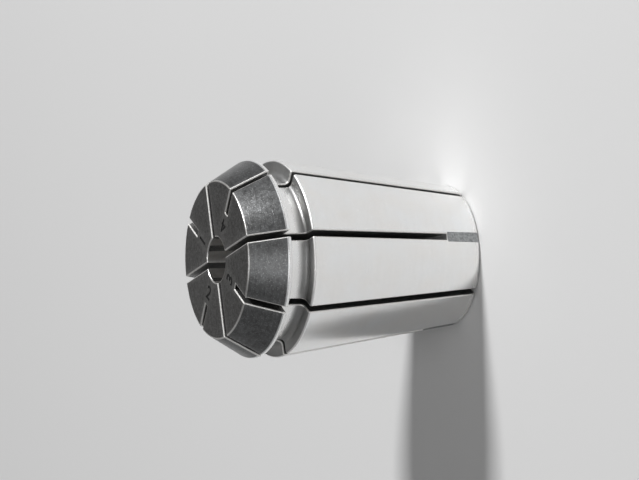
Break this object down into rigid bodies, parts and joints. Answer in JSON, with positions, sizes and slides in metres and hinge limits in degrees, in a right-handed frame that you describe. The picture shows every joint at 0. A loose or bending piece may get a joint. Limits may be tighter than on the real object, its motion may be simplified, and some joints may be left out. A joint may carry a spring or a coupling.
{
  "type": "er collet",
  "caption": "Spring collet that holds a tap: slit steel body with a seating taper, a nose cone, a puller groove, a round shank hole and a square socket.",
  "frame": {"origin": "centre of the flat tail face", "axes": "+Z along the collet's axis towards the nose, where the tool goes in; +X and +Y through slots that are open at the nose, square to the flats of the square socket"},
  "size_m": [0.0258, 0.0258, 0.034],
  "materials": {
    "steel": "hardened spring steel, ground bright on the taper and in the groove, tumbled matt grey on the nose"
  },
  "bodies": {
    "root": {"collet": "steel"}
  },
  "joints": []
}
